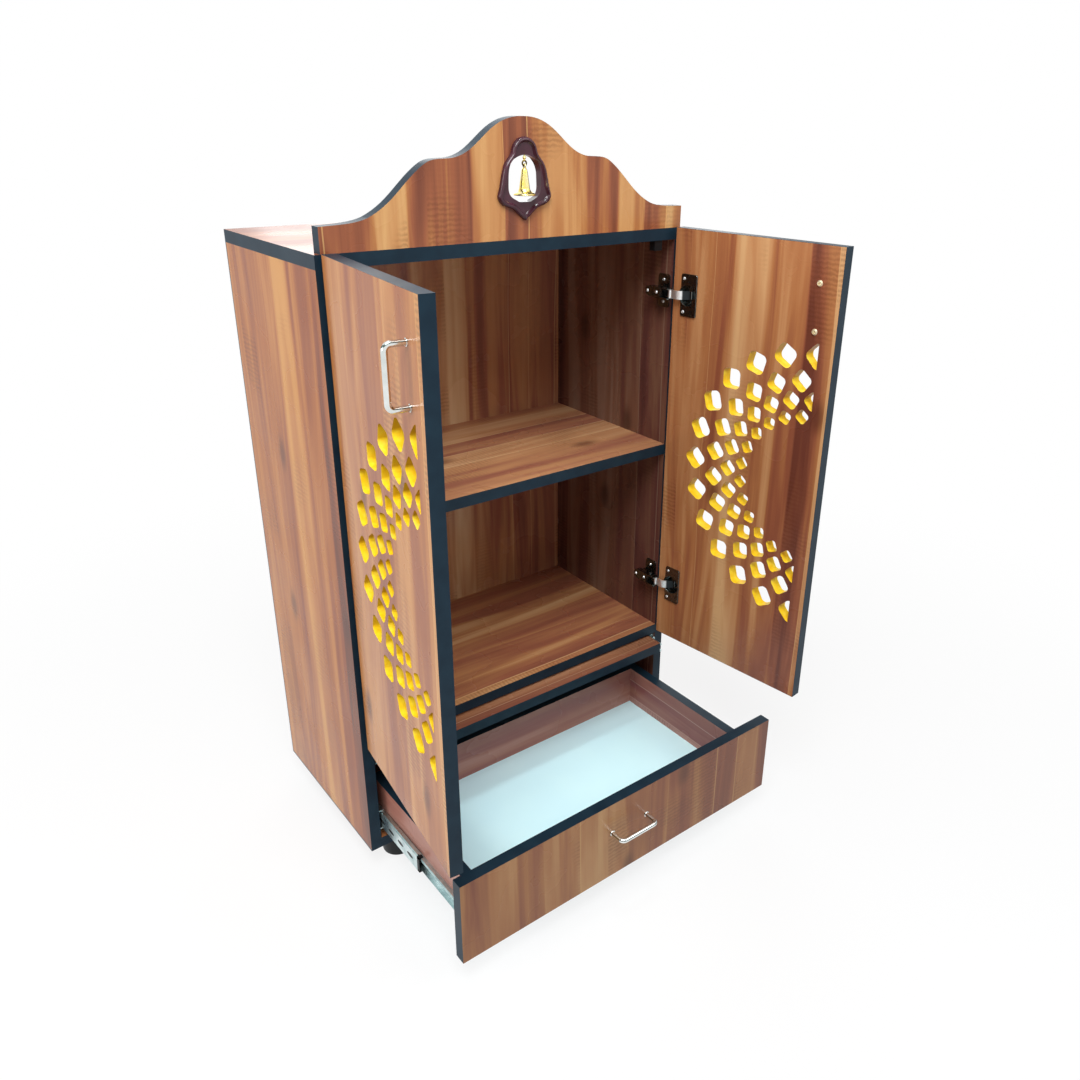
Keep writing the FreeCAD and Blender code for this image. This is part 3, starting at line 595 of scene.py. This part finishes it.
screw_tree, given = tree_with("screw_heads", (
    ("Points", "Geometry", None),
    ("Head Radius", "Float", 0.0036),
    ("Head Height", "Float", 0.0016),
    ("Material", "Material", None),
))
radius, height = given["Head Radius"], given["Head Height"]
top_share, recess_length, recess_width = 0.72, 1.05, 0.26
top_radius = maths(screw_tree, "MULTIPLY", radius, top_share)
head_shape = {"Vertices": 28, "Radius Top": top_radius, "Radius Bottom": radius, "Depth": height}
head = add(screw_tree, "GeometryNodeMeshCone", head_shape)
bar_length = maths(screw_tree, "MULTIPLY", radius, recess_length)
bar_width = maths(screw_tree, "MULTIPLY", radius, recess_width)
bar_size = add(screw_tree, "ShaderNodeCombineXYZ", {0: bar_length, 1: bar_width, 2: height})
bar_lift = add(screw_tree, "ShaderNodeCombineXYZ", {2: height})
bar = add(screw_tree, "GeometryNodeMeshCube", {"Size": bar_size.outputs[0]})
cut = add(screw_tree, "GeometryNodeMeshBoolean", {0: head.outputs["Mesh"]}, operation="DIFFERENCE")
for turn in (0.0, quarter):
    pose = {"Translation": bar_lift.outputs[0], "Rotation": (0.0, 0.0, turn)}
    moved = add(screw_tree, "GeometryNodeTransform", {"Geometry": bar.outputs["Mesh"], **pose})
    screw_tree.links.new(moved.outputs[0], cut.inputs[1])
set_on_points(screw_tree, given, cut.outputs[0], 1.5)
axis_from_face = 0.0105


def on_door(side, from_edge, height, out):
    """Point and direction on an open door's inner face, measured from its hinge-side edge."""
    pivot = door_axis(side)
    swing = Matrix.Rotation(door_open * side, 3, "Z")
    place = swing @ Vector((side * (axis_from_edge - from_edge), axis_from_face + out, 0.0))
    return Vector((pivot.x + place.x, pivot.y + place.y, height)), swing @ Vector((0.0, 1.0, 0.0))


def cup_middle(level_name, name):
    """Height of a hinge cup's middle."""
    low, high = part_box("hinge_cup_" + level_name + "_" + name)
    return (low[2] + high[2]) / 2.0


screws = {"left_door": [], "right_door": [], "cabinet": []}
handle_screws = {"left_door": [], "right_door": [], "drawer": []}
handle_foot = 0.0044
handle_from_edge = 0.035
cup_screw_from_edge, cup_screw_rise = 0.0225, 0.026
cup_plate_top = 0.0022
wing_screw_from_back, wing_screw_rise, wing_top = 0.0200, 0.0175, 0.002
arm_screws_from_back, arm_top = (0.0045, 0.0255), 0.023
for side, name in ((1, "right"), (-1, "left")):
    grip_low, grip_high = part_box(name + "_door_handle")
    for height in (grip_low[2] + handle_foot, grip_high[2] - handle_foot):
        mark = on_door(side, door_width - handle_from_edge, height, 0.0)
        handle_screws[name + "_door"].append(mark)
    for level_name in ("upper", "lower"):
        middle = cup_middle(level_name, name)
        for rise in (-cup_screw_rise, cup_screw_rise):
            mark = on_door(side, cup_screw_from_edge, middle + rise, cup_plate_top)
            screws[name + "_door"].append(mark)
        arm_low, arm_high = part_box("hinge_arm_" + level_name + "_" + name)
        wall = arm_high[0] if side > 0 else arm_low[0]
        inward = Vector((-side, 0.0, 0.0))
        for rise in (-wing_screw_rise, wing_screw_rise):
            place = (wall - side * wing_top, arm_high[1] - wing_screw_from_back, middle + rise)
            screws["cabinet"].append((Vector(place), inward))
        for from_back in arm_screws_from_back:
            place = (wall - side * arm_top, arm_high[1] - from_back, middle)
            screws["cabinet"].append((Vector(place), inward))
front_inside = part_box("drawer_front")[1][1]
pull_low, pull_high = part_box("drawer_handle")
for x in (pull_low[0] + handle_foot, pull_high[0] - handle_foot):
    place = Vector((x, front_inside, (pull_low[2] + pull_high[2]) / 2.0))
    handle_screws["drawer"].append((place, Vector((0.0, 1.0, 0.0))))
bright_nickel = polished_metal("bright_nickel", hexa("D4D6D6"), hexa("EEF0F0"), 0.42, 160.0)
yellow_zinc = polished_metal("yellow_zinc", hexa("E0D2AC"), hexa("F4ECD0"), 0.40, 160.0)
head_share = 0.45
for label, rows, head_radius, metal in (
        ("hinge_screws_", screws, 0.0026, bright_nickel),
        ("handle_screws_", handle_screws, 0.0046, yellow_zinc)):
    sizes = {"Head Radius": head_radius, "Head Height": head_radius * head_share, "Material": metal}
    for body, marks in rows.items():
        piece = grown_on(label + body, marks, screw_tree, sizes)
        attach(piece, body)


# Hinge cup plates: wide pressed wings round each cup, nickel-plated like it, with softened
# edges. They lie on the narrow flange and are held by its two screws.
cup_from_edge = 0.030
cup_mouth = 0.0161
wing_near, wing_far, wing_half = 0.0165, 0.0478, 0.0332
wing_corner = 0.0035
soft_edge = 0.0003
door_gap = 0.0001


def arc(centre, radius, first, last, steps):
    """Points along an arc, its ends given in degrees."""
    turns = [math.radians(first + (last - first) * step / steps) for step in range(steps + 1)]
    return [(centre[0] + radius * math.cos(turn), centre[1] + radius * math.sin(turn)) for turn in turns]


far, near, rise = wing_far - wing_corner, wing_near + wing_corner, wing_half - wing_corner
wing_outline = arc((near, -rise), wing_corner, 180.0, 270.0, 5)
wing_outline += arc((far, -rise), wing_corner, 270.0, 360.0, 5)
wing_outline += arc((far, rise), wing_corner, 0.0, 90.0, 5)
wing_outline += arc((near, rise), wing_corner, 90.0, 180.0, 5)
mouth_turn = math.degrees(math.acos((wing_near - cup_from_edge) / cup_mouth))
wing_outline += arc((cup_from_edge, 0.0), cup_mouth, mouth_turn, -mouth_turn, 40)
wing_faces = tessellate_polygon([[Vector((across, up, 0.0)) for across, up in wing_outline]])


def wing_ring(plates, side, middle, inset, out):
    """Ring of corners round a cup plate, drawn in by an inset, at a height off the door."""
    ring = []
    for index, (across, up) in enumerate(wing_outline):
        before, after = wing_outline[index - 1], wing_outline[(index + 1) % len(wing_outline)]
        run = Vector((after[0] - before[0], after[1] - before[1])).normalized()
        across, up = across - run.y * inset, up + run.x * inset
        ring.append(plates.verts.new(on_door(side, across, middle + up, out)[0]))
    return ring


def fitting(name, shape, material, body):
    """Built shape as a piece of one material, which rides on a body."""
    bmesh.ops.recalc_face_normals(shape, faces=shape.faces)
    mesh = bpy.data.meshes.new(name)
    shape.to_mesh(mesh)
    shape.free()
    mesh.materials.append(material)
    piece = put_in_scene(name, mesh)
    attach(piece, body)


ring_steps = ((0.0, door_gap), (0.0, cup_plate_top - soft_edge), (soft_edge, cup_plate_top))
for side, name in ((1, "right"), (-1, "left")):
    plates = bmesh.new()
    for level_name in ("upper", "lower"):
        middle = cup_middle(level_name, name)
        rings = [wing_ring(plates, side, middle, inset, out) for inset, out in ring_steps]
        for lower, upper in zip(rings, rings[1:]):
            for index in range(len(lower)):
                after = (index + 1) % len(lower)
                plates.faces.new((lower[index], lower[after], upper[after], upper[index]))
        for ring in (rings[0], rings[-1]):
            for corners in wing_faces:
                plates.faces.new([ring[corner] for corner in corners])
    fitting("cup_plates_" + name, plates, nickel, name + "_door")


# Slide fittings: oblong stamped slots along the drawer's middle members, drawn as thin black
# discs on the web as painted shade in the holes, and the black plastic retainer that closes the front end of each.
slot_tree, given = tree_with("stamped_slots", (
    ("Points", "Geometry", None),
    ("Half Length", "Float", 0.009),
    ("Half Width", "Float", 0.003),
    ("Material", "Material", None),
))
disc = add(slot_tree, "GeometryNodeMeshCylinder", {"Vertices": 20, "Radius": 1.0, "Depth": 0.00016})
stretch = add(slot_tree, "ShaderNodeCombineXYZ", {0: given["Half Width"], 1: given["Half Length"], 2: 1.0})
drawn = {"Geometry": disc.outputs["Mesh"], "Scale": stretch.outputs[0]}
oblong = add(slot_tree, "GeometryNodeTransform", drawn)
set_on_points(slot_tree, given, oblong.outputs[0], 0.0)
slot_start, slot_pitch, slot_count = 0.022, 0.030, 8
retainer_length = 0.006
web_half, lip_start = 0.0135, 0.0106
web_cover, lip_cover = 0.0014, 0.0075
retainer_blocks = (
    (web_cover, -web_half, web_half),
    (lip_cover, lip_start, web_half),
    (lip_cover, -web_half, -lip_start),
)
slots = []
retainers = bmesh.new()
for side, name in ((1, "right"), (-1, "left")):
    low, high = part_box("drawer_slide_middle_" + name)
    web = high[0] if side > 0 else low[0]
    middle = (low[2] + high[2]) / 2.0
    for index in range(slot_count):
        place = Vector((web, low[1] + slot_start + index * slot_pitch, middle))
        slots.append((place, Vector((side, 0.0, 0.0))))
    for inner, foot, head in retainer_blocks:
        for vert in bmesh.ops.create_cube(retainers, size=1.0)["verts"]:
            x = web - side * (inner if vert.co.x > 0 else 0.0)
            y = low[1] - (0.0 if vert.co.y > 0 else retainer_length)
            vert.co = Vector((x, y, middle + (head if vert.co.z > 0 else foot)))
slide_body = body_of_node["drawer_slide_middle_left"]
fitting("slide_retainers", retainers, black_plastic, slide_body)
# Painted shade: the slots are thin black discs, not holes.
slot_sizes = {"Half Length": 0.009, "Half Width": 0.003, "Material": black_plastic}
piece = grown_on("slide_slot_shades", slots, slot_tree, slot_sizes)
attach(piece, slide_body)


# Floor of the studio: a pale sheet that looks almost white to the camera, a little darker
# round the feet.
def seen_as_white(tree):
    """One for a ray from the camera, straight, mirrored or let through, and nought for other light."""
    path = add(tree, "ShaderNodeLightPath").outputs
    seen = maths(tree, "MAXIMUM", path["Is Camera Ray"], path["Is Glossy Ray"])
    return maths(tree, "MAXIMUM", seen, path["Is Transmission Ray"])


floor_half = 40.0
floor_corners = [(floor_half * x, floor_half * y, 0.0) for x, y in ((-1, -1), (1, -1), (1, 1), (-1, 1))]
floor_mesh = bpy.data.meshes.new("floor")
floor_mesh.from_pydata(floor_corners, [], [(0, 1, 2, 3)])
floor = put_in_scene("floor", floor_mesh)
floor_paint, tree, shader = new_material("floor_paint")
shader.inputs["Base Color"].default_value = (0.80, 0.80, 0.80, 1.0)
shader.inputs["Roughness"].default_value = 0.9
glow = add(tree, "ShaderNodeEmission", {"Color": (1.0, 1.0, 1.0, 1.0), "Strength": 1.0})
floor_place = add(tree, "ShaderNodeTexCoord")
reach = add(tree, "ShaderNodeVectorMath", {0: floor_place.outputs["Object"]}, operation="LENGTH")
far_share = between(tree, reach.outputs["Value"], 0.4, 1.8, 0.80, 1.0)
white_share = maths(tree, "MULTIPLY", seen_as_white(tree), far_share)
mixed = add(tree, "ShaderNodeMixShader", {0: white_share, 1: shader.outputs[0], 2: glow.outputs[0]})
tree.links.new(mixed.outputs[0], tree.nodes["Material Output"].inputs["Surface"])
floor_mesh.materials.append(floor_paint)
floor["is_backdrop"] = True


# Surroundings: an even white world all round the cabinet, which lights it at three tenths of
# the strength that the camera and the polished metal see.
surround_level = 0.30
world = bpy.data.worlds.new("studio")
bpy.context.scene.world = world
world.use_nodes = True
tree = world.node_tree
sky = tree.nodes["Background"]
sky_level = maths(tree, "MULTIPLY_ADD", seen_as_white(tree), 1.0 - surround_level, surround_level)
tree.links.new(sky_level, sky.inputs["Strength"])
sky.inputs["Color"].default_value = (1.0, 1.0, 1.0, 1.0)


# Lamps: four soft square ones aimed at the middle of the cabinet, and a narrow cool spot that
# lights the open drawer from above.
centre = Vector(((cad_box[0][i] + cad_box[1][i]) / 2.0 for i in range(3)))


def soft_lamp(name, place, size, power, tint):
    """Square area lamp aimed at the middle of the cabinet."""
    light = bpy.data.lights.new(name, "AREA")
    light.size = size
    light.energy = power
    light.color = tint
    lamp = put_in_scene(name, light)
    lamp.location = place
    lamp.rotation_euler = (centre - Vector(place)).to_track_quat("-Z", "Y").to_euler()


soft_lamp("lamp_left", (-2.7, 0.25, 1.6), 1.4, 40.0, (1.0, 0.99, 0.98))
soft_lamp("lamp_over", (-1.0, -1.3, 2.9), 1.4, 75.0, (0.98, 0.99, 1.0))
soft_lamp("lamp_behind", (1.7, 2.6, 2.2), 2.4, 30.0, (0.97, 0.99, 1.0))
soft_lamp("lamp_right", (1.3, -2.1, 2.6), 1.4, 24.0, (0.97, 0.99, 1.0))
drawer_light = bpy.data.lights.new("drawer_spot", "SPOT")
drawer_light.energy = 36.0
drawer_light.color = (0.85, 1.0, 1.0)
drawer_light.spot_size = math.radians(16.0)
drawer_light.spot_blend = 0.6
drawer_light.shadow_soft_size = 0.12
drawer_spot = put_in_scene("drawer_spot", drawer_light)
drawer_spot.location = (0.0, -0.13, 2.2)


# Camera: at the photograph's place, turned 39 degrees to the right of straight ahead and
# looking 23 degrees down.
camera_place = (-0.7556, -1.0931, 1.1206)
camera_heading = math.radians(-38.910)
camera_tilt = math.radians(-23.094)
camera_roll = math.radians(1.009)
camera_data = bpy.data.cameras.new("camera")
camera = put_in_scene("camera", camera_data)
aim = Matrix.Rotation(camera_heading, 4, "Z") @ Matrix.Rotation(quarter + camera_tilt, 4, "X")
aim = aim @ Matrix.Rotation(camera_roll, 4, "Z")
camera.matrix_world = Matrix.Translation(camera_place) @ aim
camera_data.sensor_width = 36.0
camera_data.lens = 30.80
camera_data.shift_x = -0.0447
camera_data.shift_y = -0.0283
bpy.context.scene.camera = camera
bpy.context.scene.view_settings.view_transform = "Standard"

shown_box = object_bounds()
sizes = {"cad": [list(corner) for corner in cad_box], "shown": [list(corner) for corner in shown_box]}
